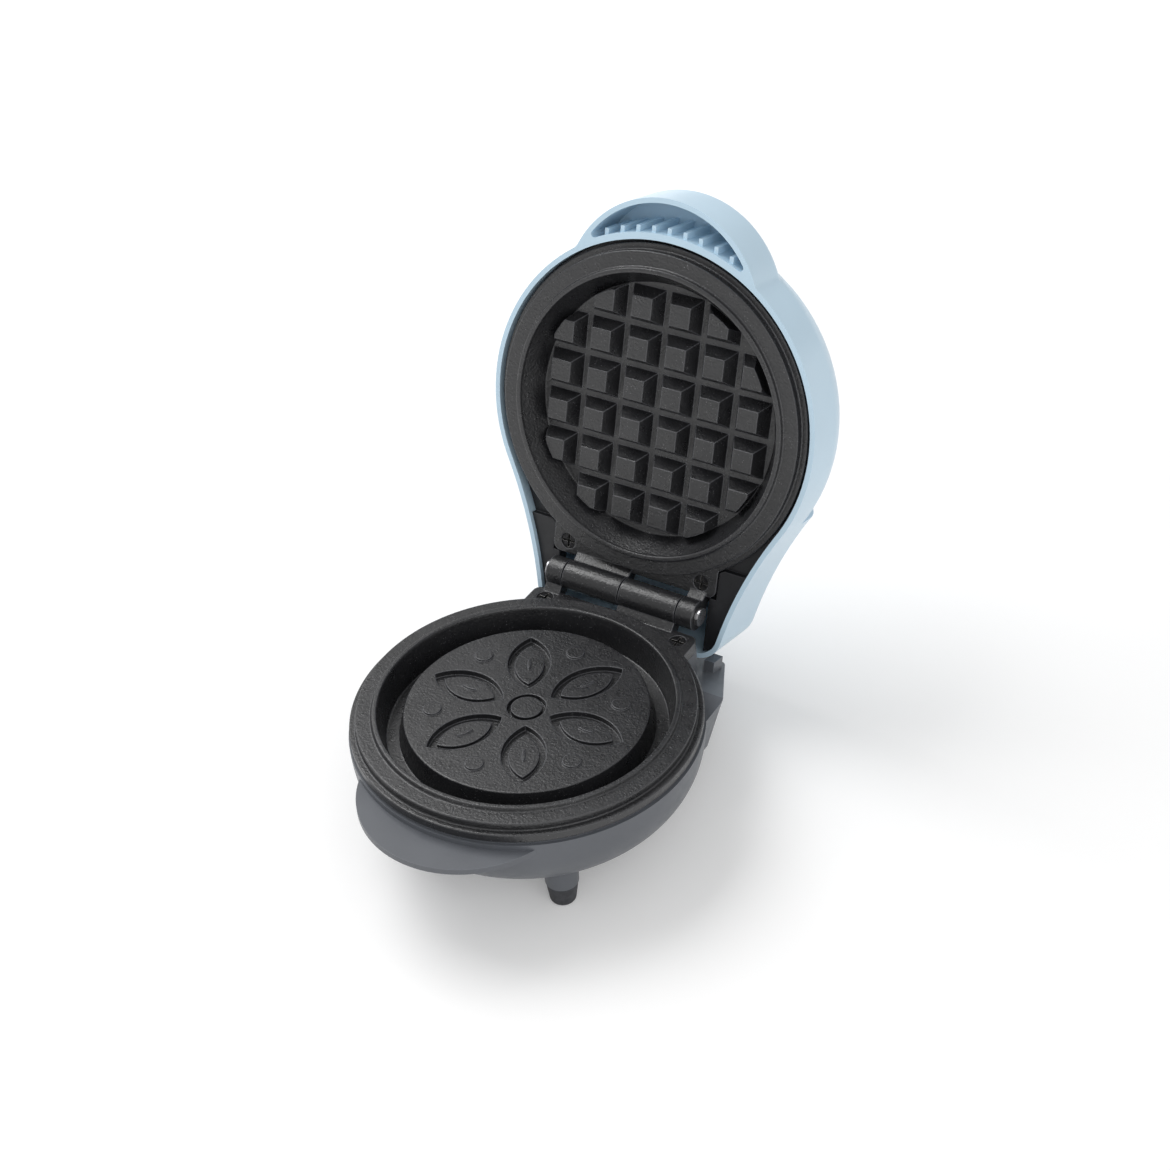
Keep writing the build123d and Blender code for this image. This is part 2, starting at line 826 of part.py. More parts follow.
# Where the handle's arc meets the body's, a small round fits against both from outside
body_reach = cover_radius + handle_notch
handle_reach = handle_radius + handle_notch
notch_y = -(body_reach**2 - handle_reach**2 + handle_centre**2) / (2 * handle_centre)
notch_x = sqrt(body_reach**2 - notch_y**2)
with BuildPart() as handle_form:
    with BuildSketch(upper_half.offset(cover_rim_depth)):
        for x in (-notch_x, notch_x):
            with BuildLine():
                Polyline((0, 0), (0, -handle_centre), (x, notch_y), close=True)
            make_face()
        with Locations((-notch_x, notch_y), (notch_x, notch_y)):
            Circle(handle_notch, mode=Mode.SUBTRACT)
        Circle(cover_radius)
        with Locations((0, -handle_centre)):
            Circle(handle_radius)
    extrude(amount=handle_top_depth - cover_rim_depth)
    fillet(handle_form.faces().sort_by(axis_of(upper_half))[-1].edges(), handle_shoulder)

with BuildPart() as upper_cover:
    add(cover_form(0))
    add(handle_form.part)
    add(cover_form(cover_wall), mode=Mode.SUBTRACT)
    with BuildSketch(upper_half.offset(cover_rim_depth)) as scoop:
        with Locations((0, -handle_centre)):
            Circle(handle_radius - cover_wall)
        Circle(scoop_wall_radius, mode=Mode.SUBTRACT)
        fillet(scoop.vertices(), scoop_corner)
    scoop_height = handle_top_depth - cover_rim_depth - scoop_ceiling
    extrude(amount=scoop_height, mode=Mode.SUBTRACT)
    with BuildSketch(upper_half.offset(rib_start_depth)):
        for i in range(rib_count):
            x = (i - (rib_count - 1) / 2) * rib_pitch
            y = -sqrt(scoop_wall_radius**2 - x * x)
            with Locations((x, y - rib_reach / 2 + casing_wall / 4)):
                Rectangle(rib_width, rib_reach + casing_wall / 2)
    extrude(amount=cover_rim_depth + scoop_height - rib_start_depth + scoop_ceiling / 2)
    with BuildSketch(upper_half.offset(liner_back)):
        for angle in landing_angles:
            with PolarLocations(cover_radius - cover_wall - landing_reach / 2 + cover_wall / 2, 1, angle):
                Rectangle(landing_reach + cover_wall, landing_width)
    extrude(amount=landing_height)
    with BuildSketch(upper_half.offset(liner_back)):
        with Locations(*hinge_screw_spots):
            Circle(cover_boss_radius)
    extrude(amount=cover_top_depth - cover_wall / 2 - liner_back)
    with BuildSketch(upper_half.offset(liner_back)):
        with Locations(*hinge_screw_spots):
            Circle(screw_radius)
    extrude(amount=hinge_screw_length, mode=Mode.SUBTRACT)
    with BuildSketch(upper_half.offset(cover_top_depth - 2 * cover_wall)):
        with Locations((0, lens_y)):
            Circle(lens_radius + pin_fit)
    extrude(amount=4 * cover_wall, mode=Mode.SUBTRACT)
save(upper_cover, "upper_cover")

# The dark frame that carries the upper plate and closes the tail beside the hinge
with BuildPart() as prongs:
    add(cover_form(cover_wall + liner_gap))
    with BuildSketch(upper_half.offset(cover_rim_depth)):
        with Locations((0, prong_front - cover_tail_rear)):
            Rectangle(4 * cover_radius, 2 * cover_tail_rear)
        Circle(plate_radius + 2 * liner_gap)
        with Locations((0, ear_rear - cover_tail_rear + 2 * liner_gap)):
            Rectangle(2 * (ear_half_width + liner_gap), 2 * cover_tail_rear)
    extrude(amount=cover_top_depth, mode=Mode.SUBTRACT)
with BuildPart() as upper_liner:
    with BuildSketch(upper_half.offset(flange_back)):
        Circle(2 * cover_radius)
        Circle(liner_bore, mode=Mode.SUBTRACT)
    extrude(amount=liner_thickness)
    add(cover_form(cover_wall + liner_gap), mode=Mode.INTERSECT)
    add(prongs.part)
    with BuildSketch(upper_half.offset(cover_rim_depth)):
        Circle(2 * cover_radius)
    extrude(amount=prong_depth - cover_rim_depth, mode=Mode.SUBTRACT)
    with BuildSketch(upper_half.offset(liner_back)):
        Circle(2 * cover_radius)
    extrude(amount=cover_top_depth, mode=Mode.SUBTRACT)
    with BuildSketch(upper_half):
        with Locations((0, (ear_front + ear_rear) / 2)):
            Rectangle(2 * (ear_half_width + liner_gap), ear_rear - ear_front + 2 * liner_gap)
    extrude(amount=ear_back, mode=Mode.SUBTRACT)
    with BuildSketch(upper_half):
        with Locations((0, ear_rear + liner_gap + cover_tail_rear)):
            Rectangle(2 * liner_slot_half, 2 * cover_tail_rear)
    extrude(amount=cover_top_depth, mode=Mode.SUBTRACT)
    with BuildSketch(upper_half):
        with Locations(*hinge_screw_spots):
            Circle(screw_radius + screw_clearance)
        with Locations(*liner_screw_spots):
            Circle(liner_screw_radius + screw_clearance)
    extrude(amount=cover_top_depth, mode=Mode.SUBTRACT)
save(upper_liner, "upper_liner")
liner_head_depth = liner_back + screw_head_length
liner_shank = screw_head_length + liner_screw_length
screws(
    upper_half,
    liner_screw_spots,
    liner_head_depth,
    liner_shank,
    "liner_screws",
    toward=-1,
    radius=liner_screw_radius,
    head=liner_screw_head,
)

column_holes = [(column_spots, column_radius + shield_hole_gap)]
heating_parts(lower_half, island_back, lower_spacer_length, column_holes, "lower")
heating_parts(upper_half, waffle_back, upper_spacer_length, [], "upper")

# The thermostat on the back of the lower plate, a round body with a cap and two blades
with BuildPart() as thermostat:
    with BuildSketch(lower_half.offset(island_back)):
        Circle(thermostat_radius)
    extrude(amount=thermostat_height)
    with BuildSketch(lower_half.offset(island_back + thermostat_height)):
        Circle(thermostat_cap_radius)
    extrude(amount=thermostat_cap_height)
    with BuildSketch(lower_half.offset(island_back + thermostat_height + thermostat_cap_height)):
        with GridLocations(thermostat_cap_radius, 0, 2, 1):
            Rectangle(blade_thickness, blade_width)
    extrude(amount=blade_length)
save(thermostat, "thermostat")

# The thermal fuse, which lies on the back of the lower clamp
fuse_depth = island_back + 2 * element_radius + clamp_thickness + fuse_radius
with BuildPart() as thermal_fuse:
    fuse_end = Plane(
        origin=(fuse_x, plate_y - fuse_length / 2, meet_height - fuse_depth),
        x_dir=(1, 0, 0),
        z_dir=(0, 1, 0),
    )
    with BuildSketch(fuse_end):
        Circle(fuse_radius)
    extrude(amount=fuse_length)
    with BuildSketch(fuse_end.offset(-fuse_tip_length)):
        Circle(fuse_tip_radius)
    extrude(amount=fuse_length + 2 * fuse_tip_length)
save(thermal_fuse, "thermal_fuse")

# The terminal block on its pad on the casing's floor
with BuildPart() as terminal_block:
    with BuildSketch(lower_half.offset(terminal_floor)):
        with Locations((0, terminal_y)):
            Rectangle(terminal_length, terminal_width)
    extrude(amount=-terminal_height)
    way_pitch = terminal_length / terminal_ways
    block_front = Plane(
        origin=(
            0,
            plate_y + terminal_y - terminal_width / 2,
            meet_height - terminal_floor + terminal_height / 2,
        ),
        x_dir=(1, 0, 0),
        z_dir=(0, 1, 0),
    )
    with BuildSketch(block_front):
        with GridLocations(way_pitch, 0, terminal_ways, 1):
            Circle(terminal_hole)
    extrude(amount=terminal_width, mode=Mode.SUBTRACT)
    with BuildSketch(lower_half.offset(terminal_floor - terminal_height)):
        with Locations((0, terminal_y)):
            with GridLocations(way_pitch, 0, terminal_ways, 1):
                Circle(terminal_screw_radius)
    extrude(amount=terminal_height / 2, mode=Mode.SUBTRACT)
save(terminal_block, "terminal_block")

# The indicator: a flanged lens in the cover's top and the lamp behind it
with BuildPart() as indicator_lens:
    with BuildSketch(upper_half.offset(cover_top_depth)):
        with Locations((0, lens_y)):
            Circle(lens_radius + lens_flange)
    extrude(amount=lens_proud)
    fillet(indicator_lens.edges().sort_by(axis_of(upper_half))[-1], lens_proud / 2)
    with BuildSketch(upper_half.offset(cover_top_depth)):
        with Locations((0, lens_y)):
            Circle(lens_radius)
    extrude(amount=-2 * cover_wall)
save(indicator_lens, "indicator_lens")
with BuildPart() as indicator_lamp:
    with BuildSketch(upper_half.offset(cover_top_depth - 2 * cover_wall)):
        with Locations((0, lens_y)):
            Circle(lamp_radius)
    extrude(amount=lamp_radius - lamp_length)
    fillet(indicator_lamp.edges().sort_by(axis_of(upper_half))[0], lamp_radius / 2)
save(indicator_lamp, "indicator_lamp")
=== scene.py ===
"""Finishes, light and camera for a small waffle maker that stands open on a table.

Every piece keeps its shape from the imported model; this add-on gives each of them its finish and
sets up the room it is pictured in. Lengths are in metres, in the model's own frame: +Z up, +Y to
the hinge, +X to the right seen from the front.
"""

import math

import bpy
import numpy as np
from bpy.props import FloatProperty, FloatVectorProperty, PointerProperty
from bpy.types import Operator, Panel, PropertyGroup
from mathutils import Matrix, Vector

bl_info = {
    "name": "Waffle Maker Finishes",
    "version": (1, 0, 0),
    "blender": (4, 5, 0),
    "location": "View3D > Sidebar > Waffle Maker",
    "description": "Finishes the shells, plates, hinge and inner parts, and sets light and camera",
    "category": "Material",
}

# The middle of the lower plate, in the plane where the two halves meet
PLATE_CENTRE = (0.0, -0.03019, 0.05)

# How far the camera stands to the right of that point and above it, across its line of sight
VIEW_ASIDE = 0.02256
VIEW_ABOVE = 0.03754

# The camera's film width and lens, which give the field of view fitted to the photograph, and
# the distance in front of the lens from which things are seen
SENSOR_MM = 36.0
LENS_MM = 58.91
NEAREST_SEEN = 0.01

# The floor, and the spot on the object that the lamps point at
FLOOR_HALF_WIDTH = 4.0
FLOOR_ROWS = 8
LAMP_AIM = (0.0, 0.0, 0.08)

# Values that several materials share
WHITE = (1.0, 1.0, 1.0, 1.0)
NOISE_ROUGHNESS = 0.55
BEVEL_SAMPLES = 6
SCRATCHES_PER_METRE = 2600.0

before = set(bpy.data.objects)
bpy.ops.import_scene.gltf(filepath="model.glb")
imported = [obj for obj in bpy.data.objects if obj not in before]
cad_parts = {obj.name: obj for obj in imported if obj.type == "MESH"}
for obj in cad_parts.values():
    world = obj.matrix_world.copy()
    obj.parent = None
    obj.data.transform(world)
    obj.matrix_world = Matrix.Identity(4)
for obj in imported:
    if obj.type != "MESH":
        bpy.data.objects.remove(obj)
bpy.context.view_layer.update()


class CoatingSettings(PropertyGroup):
    """The non-stick coating on both cast plates."""

    colour: FloatVectorProperty(
        name="Coating colour",
        description="Colour of the coating between its speckles",
        subtype="COLOR",
        size=4,
        default=(0.0135, 0.0138, 0.0155, 1.0),
    )
    speckle_colour: FloatVectorProperty(
        name="Speckle colour",
        description="Colour of the pale mineral specks in the coating",
        subtype="COLOR",
        size=4,
        default=(0.2, 0.2, 0.21, 1.0),
    )
    speckle_size: FloatProperty(
        name="Speckle spacing",
        description="Usual distance from one speck to the next",
        default=0.0009,
        unit="LENGTH",
    )
    roughness: FloatProperty(
        name="Roughness", description="How dull the baked coating is", default=0.3, min=0.0, max=1.0
    )


class CoverSettings(PropertyGroup):
    """The lid's outer shell."""

    colour: FloatVectorProperty(
        name="Cover colour",
        description="Light blue of the moulded cover",
        subtype="COLOR",
        size=4,
        default=(0.56, 0.735, 0.865, 1.0),
    )
    roughness: FloatProperty(
        name="Roughness", description="Satin gloss of the cover", default=0.3, min=0.0, max=1.0
    )
    grain: FloatProperty(
        name="Grain size",
        description="Size of the mould's fine orange-peel grain",
        default=0.0016,
        unit="LENGTH",
    )


class CasingSettings(PropertyGroup):
    """The base's grey shell, its feet and the black ring in the lid."""

    colour: FloatVectorProperty(
        name="Casing colour",
        description="Grey of the moulded casing",
        subtype="COLOR",
        size=4,
        default=(0.112, 0.12, 0.135, 1.0),
    )
    liner_colour: FloatVectorProperty(
        name="Liner colour",
        description="Black of the heat-resistant ring round the upper plate",
        subtype="COLOR",
        size=4,
        default=(0.014, 0.0145, 0.017, 1.0),
    )
    rubber_colour: FloatVectorProperty(
        name="Rubber colour",
        description="Dark grey of the feet and the cord bushing",
        subtype="COLOR",
        size=4,
        default=(0.036, 0.037, 0.042, 1.0),
    )
    grain: FloatProperty(
        name="Grain size",
        description="Size of the spark-eroded grain on the casing",
        default=0.0007,
        unit="LENGTH",
    )


class RoomSettings(PropertyGroup):
    """The floor, the soft lamps and the camera."""

    floor_colour: FloatVectorProperty(
        name="Floor colour",
        description="Pale floor under the object",
        subtype="COLOR",
        size=4,
        default=(0.86, 0.86, 0.86, 1.0),
    )
    sky_level: FloatProperty(
        name="Room light",
        description="Strength of the even light from all round",
        default=0.55,
        min=0.0,
    )
    key_power: FloatProperty(
        name="Key lamp",
        description="Power of the large lamp above on the left",
        default=7.0,
        unit="POWER",
    )
    fill_power: FloatProperty(
        name="Fill lamp",
        description="Power of the large lamp in front on the right",
        default=3.0,
        unit="POWER",
    )
    azimuth: FloatProperty(
        name="Camera azimuth",
        description="How far the camera stands to the right of the front",
        default=math.radians(33.09),
        subtype="ANGLE",
    )
    elevation: FloatProperty(
        name="Camera elevation",
        description="How far the camera looks down",
        default=math.radians(37.35),
        subtype="ANGLE",
    )
    roll: FloatProperty(
        name="Camera roll",
        description="Tilt of the camera about its own line of sight",
        default=-0.06,
        subtype="ANGLE",
    )
    distance: FloatProperty(
        name="Camera distance",
        description="Distance from the lens to the lower plate's middle along the line of sight",
        default=0.65438,
        unit="LENGTH",
    )


def settings(context, name):
    """The scene's values for one group of pieces."""
    return getattr(context.scene, f"waffle_{name}")


class Finish:
    """A material under construction: adds nodes, links them and ends on one surface shader."""

    def __init__(self, name):
        self.material = bpy.data.materials.new(name)
        self.material.use_nodes = True
        self.tree = self.material.node_tree
        self.tree.nodes.clear()
        self.output = self.tree.nodes.new("ShaderNodeOutputMaterial")
        self.shader = self.tree.nodes.new("ShaderNodeBsdfPrincipled")
        self.tree.links.new(self.shader.outputs[0], self.output.inputs["Surface"])
        self.place = self.tree.nodes.new("ShaderNodeTexCoord").outputs["Object"]

    def add(self, kind, values=(), **options):
        """Adds a node, sets its options, and sets or links each named or numbered socket."""
        node = self.tree.nodes.new(kind)
        for key, value in options.items():
            setattr(node, key, value)
        for socket, value in dict(values).items():
            self.put(node.inputs[socket], value)
        return node

    def put(self, socket, value):
        """Links a socket to an output, or sets its value."""
        if isinstance(value, bpy.types.NodeSocket):
            self.tree.links.new(value, socket)
        else:
            socket.default_value = value

    def noise(self, size, detail=3.0):
        """Noise whose features are about one size across, from 0 to 1."""
        values = {"Vector": self.place, "Scale": 1 / size, "Detail": detail}
        values["Roughness"] = NOISE_ROUGHNESS
        return self.add("ShaderNodeTexNoise", values).outputs["Fac"]

    def span(self, value, low, high, to_low=0.0, to_high=1.0):
        """Maps the span from low to high onto the span from to_low to to_high, clamped."""
        return self.add(
            "ShaderNodeMapRange", {0: value, 1: low, 2: high, 3: to_low, 4: to_high}
        ).outputs[0]

    def mix(self, share, first, second):
        """Blends two colours by a share."""
        node = self.add("ShaderNodeMix", data_type="RGBA")
        self.put(node.inputs[0], share)
        self.put(node.inputs[6], first)
        self.put(node.inputs[7], second)
        return node.outputs[2]

    def edges(self, radius, low=0.004, high=0.09):
        """A share, 0 on open faces and 1 on sharp edges, and the normal rounded over the edges."""
        soft = self.add("ShaderNodeBevel", {"Radius": radius}, samples=BEVEL_SAMPLES).outputs[0]
        sharp = self.add("ShaderNodeNewGeometry").outputs["Normal"]
        dot = self.add("ShaderNodeVectorMath", {0: soft, 1: sharp}, operation="DOT_PRODUCT")
        across = dot.outputs["Value"]
        bend = self.add("ShaderNodeMath", {0: 1.0, 1: across}, operation="SUBTRACT").outputs[0]
        return self.span(bend, low, high), soft

    def bump(self, height, depth, strength, normal=None):
        """A surface normal roughened by a height field of that depth in metres."""
        values = {"Height": height, "Distance": depth, "Strength": strength}
        if normal is not None:
            values["Normal"] = normal
        return self.add("ShaderNodeBump", values).outputs[0]

    def surface(self, **sockets):
        """Sets or links the surface shader's sockets, with spaces written as underscores."""
        for key, value in sockets.items():
            self.put(self.shader.inputs[key.replace("_", " ")], value)
        return self.material


def tint(colour, factor):
    """A colour made lighter or darker by a factor, kept within what a surface can reflect."""
    return tuple(min(1.0, c * factor) for c in colour[:3]) + (1.0,)


def speckled_coating(values):
    """Baked black coating with pale specks, fine bumps and edges made paler as a painted highlight.
    """
    finish = Finish("speckled_coating")
    spread = {"Vector": finish.place, "Scale": 1 / values.speckle_size}
    cells = finish.add("ShaderNodeTexVoronoi", spread)
    drift = finish.noise(values.speckle_size * 5)
    reach = finish.span(drift, 0.35, 0.7, 0.06, 0.2)
    gap = {0: reach, 1: cells.outputs["Distance"]}
    near = finish.add("ShaderNodeMath", gap, operation="SUBTRACT")
    speck = finish.span(near.outputs[0], 0.0, 0.06)
    cloud = finish.span(finish.noise(0.018), 0.3, 0.7)
    ground = finish.mix(cloud, tint(values.colour, 0.85), tint(values.colour, 1.25))
    edge_wear_and_highlight, soft = finish.edges(0.0006)
    # The edges are tinted far paler here: a painted highlight along the rims and ridges.
    edged = finish.mix(finish.span(edge_wear_and_highlight, 0, 1, 0, 0.55), ground, tint(values.colour, 11.0))
    colour = finish.mix(speck, edged, tuple(values.speckle_colour))
    grain = finish.noise(0.00085)
    gloss = values.roughness
    dull = finish.span(finish.noise(0.004), 0.3, 0.7, gloss - 0.05, gloss + 0.07)
    normal = finish.bump(grain, 0.0002, 0.9, soft)
    return finish.surface(Base_Color=colour, Roughness=dull, Normal=normal, Specular_IOR_Level=0.75)


def cover_plastic(values):
    """Light blue moulded plastic: faint orange peel, a shade of drift, and lighter edges that are
    partly wear and partly a painted highlight.
    """
    finish = Finish("cover_plastic")
    cloud = finish.span(finish.noise(0.03, detail=2.0), 0.3, 0.7)
    ground = finish.mix(cloud, tint(values.colour, 0.975), tint(values.colour, 1.02))
    edge_wear_and_highlight = finish.edges(0.0006, 0.03, 0.16)[0]
    # Lighter edges: partly wear, partly a painted highlight.
    colour = finish.mix(finish.span(edge_wear_and_highlight, 0, 1, 0, 0.3), ground, tint(values.colour, 1.12))
    gloss = values.roughness
    dull = finish.span(finish.noise(0.015), 0.3, 0.7, gloss - 0.02, gloss + 0.02)
    normal = finish.bump(finish.noise(values.grain, detail=0.0), 0.000004, 0.5)
    return finish.surface(
        Base_Color=colour, Roughness=dull, Normal=normal, Coat_Weight=0.08, Coat_Roughness=0.2
    )


def casing_plastic(values):
    """Grey moulded plastic with a fine spark-eroded grain and lighter edges, partly rubbed wear and
    partly a painted highlight.
    """
    finish = Finish("casing_plastic")
    cloud = finish.span(finish.noise(0.02), 0.3, 0.7)
    ground = finish.mix(cloud, tint(values.colour, 0.93), tint(values.colour, 1.06))
    edge_wear_and_highlight = finish.edges(0.0006, 0.03, 0.16)[0]
    # Lighter edges: partly rubbed wear, partly a painted highlight.
    colour = finish.mix(finish.span(edge_wear_and_highlight, 0, 1, 0, 0.4), ground, tint(values.colour, 1.6))
    dull = finish.span(finish.noise(0.005), 0.3, 0.7, 0.36, 0.46)
    normal = finish.bump(finish.noise(values.grain, detail=2.0), 0.00003, 0.5)
    return finish.surface(Base_Color=colour, Roughness=dull, Normal=normal)


def liner_plastic(values):
    """Black heat-resistant plastic with a satin moulding grain."""
    finish = Finish("liner_plastic")
    cloud = finish.span(finish.noise(0.012), 0.3, 0.7)
    ground = finish.mix(cloud, tint(values.liner_colour, 0.85), tint(values.liner_colour, 1.2))
    edge_wear_and_highlight, soft = finish.edges(0.0005)
    # Paler edges: partly wear, partly a painted highlight.
    colour = finish.mix(finish.span(edge_wear_and_highlight, 0, 1, 0, 0.5), ground, tint(values.liner_colour, 4.0))
    dull = finish.span(finish.noise(0.003), 0.3, 0.7, 0.36, 0.48)
    normal = finish.bump(finish.noise(0.0005, detail=2.0), 0.00004, 0.6, soft)
    return finish.surface(Base_Color=colour, Roughness=dull, Normal=normal)


def moulded_rubber(values):
    """Dark rubber with patches of dust."""
    finish = Finish("moulded_rubber")
    dust = finish.span(finish.noise(0.003), 0.45, 0.75)
    colour = finish.mix(dust, tuple(values.rubber_colour), tint(values.rubber_colour, 1.7))
    normal = finish.bump(finish.noise(0.0004), 0.00005, 0.7)
    return finish.surface(Base_Color=colour, Roughness=0.68, Normal=normal)


def brushed_metal(name, bright, dark, along, roughness, anisotropic=0.0):
    """Rolled or drawn metal: long fine scratches along one direction and a cloudy plating."""
    finish = Finish(name)
    drawn = finish.add("ShaderNodeVectorMath", {0: finish.place, 1: along}, operation="MULTIPLY")
    values = {"Vector": drawn.outputs[0], "Scale": SCRATCHES_PER_METRE, "Detail": 3.0}
    scratch = finish.add("ShaderNodeTexNoise", values).outputs["Fac"]
    cloud = finish.noise(0.006)
    colour = finish.mix(finish.span(cloud, 0.3, 0.7), dark, bright)
    dull = finish.span(scratch, 0.3, 0.7, roughness - 0.07, roughness + 0.1)
    normal = finish.bump(scratch, 0.00002, 0.5)
    return finish.surface(
        Base_Color=colour, Metallic=1.0, Roughness=dull, Normal=normal, Anisotropic=anisotropic
    )


def blackened_steel():
    """Patchy blackened screw steel, brighter along its edges, partly rubbed wear and partly a
    painted highlight.
    """
    finish = Finish("blackened_steel")
    edge_wear_and_highlight, soft = finish.edges(0.0003)
    patch = finish.span(finish.noise(0.0012), 0.4, 0.65)
    ground = finish.mix(patch, (0.012, 0.012, 0.013, 1.0), (0.045, 0.045, 0.048, 1.0))
    # Bright edges: partly rubbed wear, partly a painted highlight.
    colour = finish.mix(finish.span(edge_wear_and_highlight, 0, 1, 0, 0.6), ground, (0.3, 0.29, 0.28, 1.0))
    normal = finish.bump(finish.noise(0.0003), 0.00003, 0.6, soft)
    return finish.surface(Base_Color=colour, Metallic=0.75, Roughness=0.36, Normal=normal)


def tinted_tube():
    """Sheathed heating tube: steel tinted straw and blue by heat."""
    finish = Finish("tinted_tube")
    warm = finish.span(finish.noise(0.009), 0.35, 0.65)
    first = finish.mix(warm, (0.16, 0.12, 0.08, 1.0), (0.2, 0.2, 0.24, 1.0))
    soot = finish.span(finish.noise(0.0025), 0.5, 0.75)
    colour = finish.mix(soot, first, (0.06, 0.055, 0.05, 1.0))
    normal = finish.bump(finish.noise(0.0007), 0.00004, 0.6)
    return finish.surface(Base_Color=colour, Metallic=0.9, Roughness=0.42, Normal=normal)


def fired_ceramic():
    """Unglazed white ceramic with a sandy surface and faint stains."""
    finish = Finish("fired_ceramic")
    stain = finish.span(finish.noise(0.004), 0.5, 0.8)
    colour = finish.mix(stain, (0.74, 0.72, 0.66, 1.0), (0.58, 0.53, 0.45, 1.0))
    normal = finish.bump(finish.noise(0.0003), 0.00006, 0.7)
    return finish.surface(Base_Color=colour, Roughness=0.72, Normal=normal)


def amber_lens():
    """Translucent amber plastic with faint swirls."""
    finish = Finish("amber_lens")
    swirl = finish.span(finish.noise(0.002), 0.35, 0.65)
    colour = finish.mix(swirl, (0.75, 0.17, 0.02, 1.0), (0.86, 0.27, 0.05, 1.0))
    normal = finish.bump(finish.noise(0.0009), 0.00003, 0.4)
    return finish.surface(
        Base_Color=colour, Roughness=0.16, Normal=normal, Transmission_Weight=0.35, IOR=1.49
    )


def lamp_glass():
    """Drawn lamp glass with slight waves."""
    finish = Finish("lamp_glass")
    wave = finish.span(finish.noise(0.002), 0.3, 0.7)
    colour = finish.mix(wave, (0.95, 0.93, 0.9, 1.0), (0.99, 0.98, 0.96, 1.0))
    normal = finish.bump(finish.noise(0.0015), 0.00003, 0.5)
    return finish.surface(
        Base_Color=colour, Roughness=0.05, Normal=normal, Transmission_Weight=0.9, IOR=1.5
    )


def dress(material, *names):
    """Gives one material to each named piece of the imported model."""
    for name in names:
        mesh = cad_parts[name].data
        mesh.materials.clear()
        mesh.materials.append(material)


class WAFFLE_OT_plates(Operator):
    """Coats the two cooking plates with their speckled non-stick finish"""

    bl_idname = "waffle.plates"
    bl_label = "Coat the cooking plates"

    def execute(self, context):
        dress(speckled_coating(settings(context, "coating")), "lower_plate", "upper_plate")
        return {"FINISHED"}


class WAFFLE_OT_cover(Operator):
    """Gives the lid's outer shell its light blue satin plastic"""

    bl_idname = "waffle.cover"
    bl_label = "Finish the cover"

    def execute(self, context):
        dress(cover_plastic(settings(context, "cover")), "upper_cover")
        return {"FINISHED"}


class WAFFLE_OT_casing(Operator):
    """Gives the base's shell its grained grey plastic"""

    bl_idname = "waffle.casing"
    bl_label = "Finish the casing"

    def execute(self, context):
        dress(casing_plastic(settings(context, "casing")), "lower_casing")
        return {"FINISHED"}


class WAFFLE_OT_liner(Operator):
    """Gives the ring round the upper plate its black heat-resistant plastic"""

    bl_idname = "waffle.liner"
    bl_label = "Finish the liner"

    def execute(self, context):
        dress(liner_plastic(settings(context, "casing")), "upper_liner")
        return {"FINISHED"}


class WAFFLE_OT_rubber(Operator):
    """Gives the feet and the cord bushing their dark rubber"""

    bl_idname = "waffle.rubber"
    bl_label = "Finish the feet and bushing"

    def execute(self, context):
        dress(moulded_rubber(settings(context, "casing")), "feet", "cord_bushing")
        return {"FINISHED"}


class WAFFLE_OT_hinge(Operator):
    """Finishes the drawn hinge pin and the blackened screws beside it"""

    bl_idname = "waffle.hinge"
    bl_label = "Finish the hinge"

    def execute(self, context):
        pin = brushed_metal(
            "drawn_steel",
            bright=(0.6, 0.6, 0.61, 1.0),
            dark=(0.42, 0.42, 0.44, 1.0),
            along=(0.05, 1.0, 1.0),
            roughness=0.3,
            anisotropic=0.3,
        )
        dress(pin, "hinge_pin")
        dress(blackened_steel(), "lower_hinge_screws", "upper_hinge_screws")
        return {"FINISHED"}


class WAFFLE_OT_heating(Operator):
    """Finishes the heating tubes, their clamps, spacers, shields and screws"""

    bl_idname = "waffle.heating"
    bl_label = "Finish the heating parts"

    def execute(self, context):
        dress(tinted_tube(), "lower_heating_element", "upper_heating_element")
        plated = brushed_metal(
            "zinc_plate",
            bright=(0.62, 0.63, 0.65, 1.0),
            dark=(0.45, 0.46, 0.5, 1.0),
            along=(1.0, 1.0, 0.2),
            roughness=0.34,
        )
        dress(
            plated,
            "lower_element_clamp",
            "upper_element_clamp",
            "lower_shield_spacers",
            "upper_shield_spacers",
            "lower_shield_screws",
            "upper_shield_screws",
            "liner_screws",
            "casing_screws",
        )
        rolled = brushed_metal(
            "rolled_sheet",
            bright=(0.83, 0.84, 0.85, 1.0),
            dark=(0.7, 0.71, 0.73, 1.0),
            along=(1.0, 0.04, 1.0),
            roughness=0.36,
            anisotropic=0.4,
        )
        dress(rolled, "lower_heat_shield", "upper_heat_shield", "thermal_fuse")
        return {"FINISHED"}


class WAFFLE_OT_controls(Operator):
    """Finishes the thermostat, the terminal block and the ready light"""

    bl_idname = "waffle.controls"
    bl_label = "Finish the controls"

    def execute(self, context):
        dress(fired_ceramic(), "thermostat", "terminal_block")
        dress(amber_lens(), "indicator_lens")
        dress(lamp_glass(), "indicator_lamp")
        return {"FINISHED"}


def floor_surface(half_width, rows):
    """A level square of rows by rows quads at z 0, whose x and y reach half_width either way."""
    line = np.linspace(-half_width, half_width, rows + 1)
    x, y = np.meshgrid(line, line, indexing="ij")
    points = np.stack([x.ravel(), y.ravel(), np.zeros(x.size)], axis=1)
    corner = (np.arange(rows)[:, None] * (rows + 1) + np.arange(rows)[None, :]).ravel()
    faces = np.stack([corner, corner + rows + 1, corner + rows + 2, corner + 1], axis=1)
    mesh = bpy.data.meshes.new("floor")
    mesh.from_pydata(points.tolist(), [], faces.tolist())
    mesh.update()
    return mesh


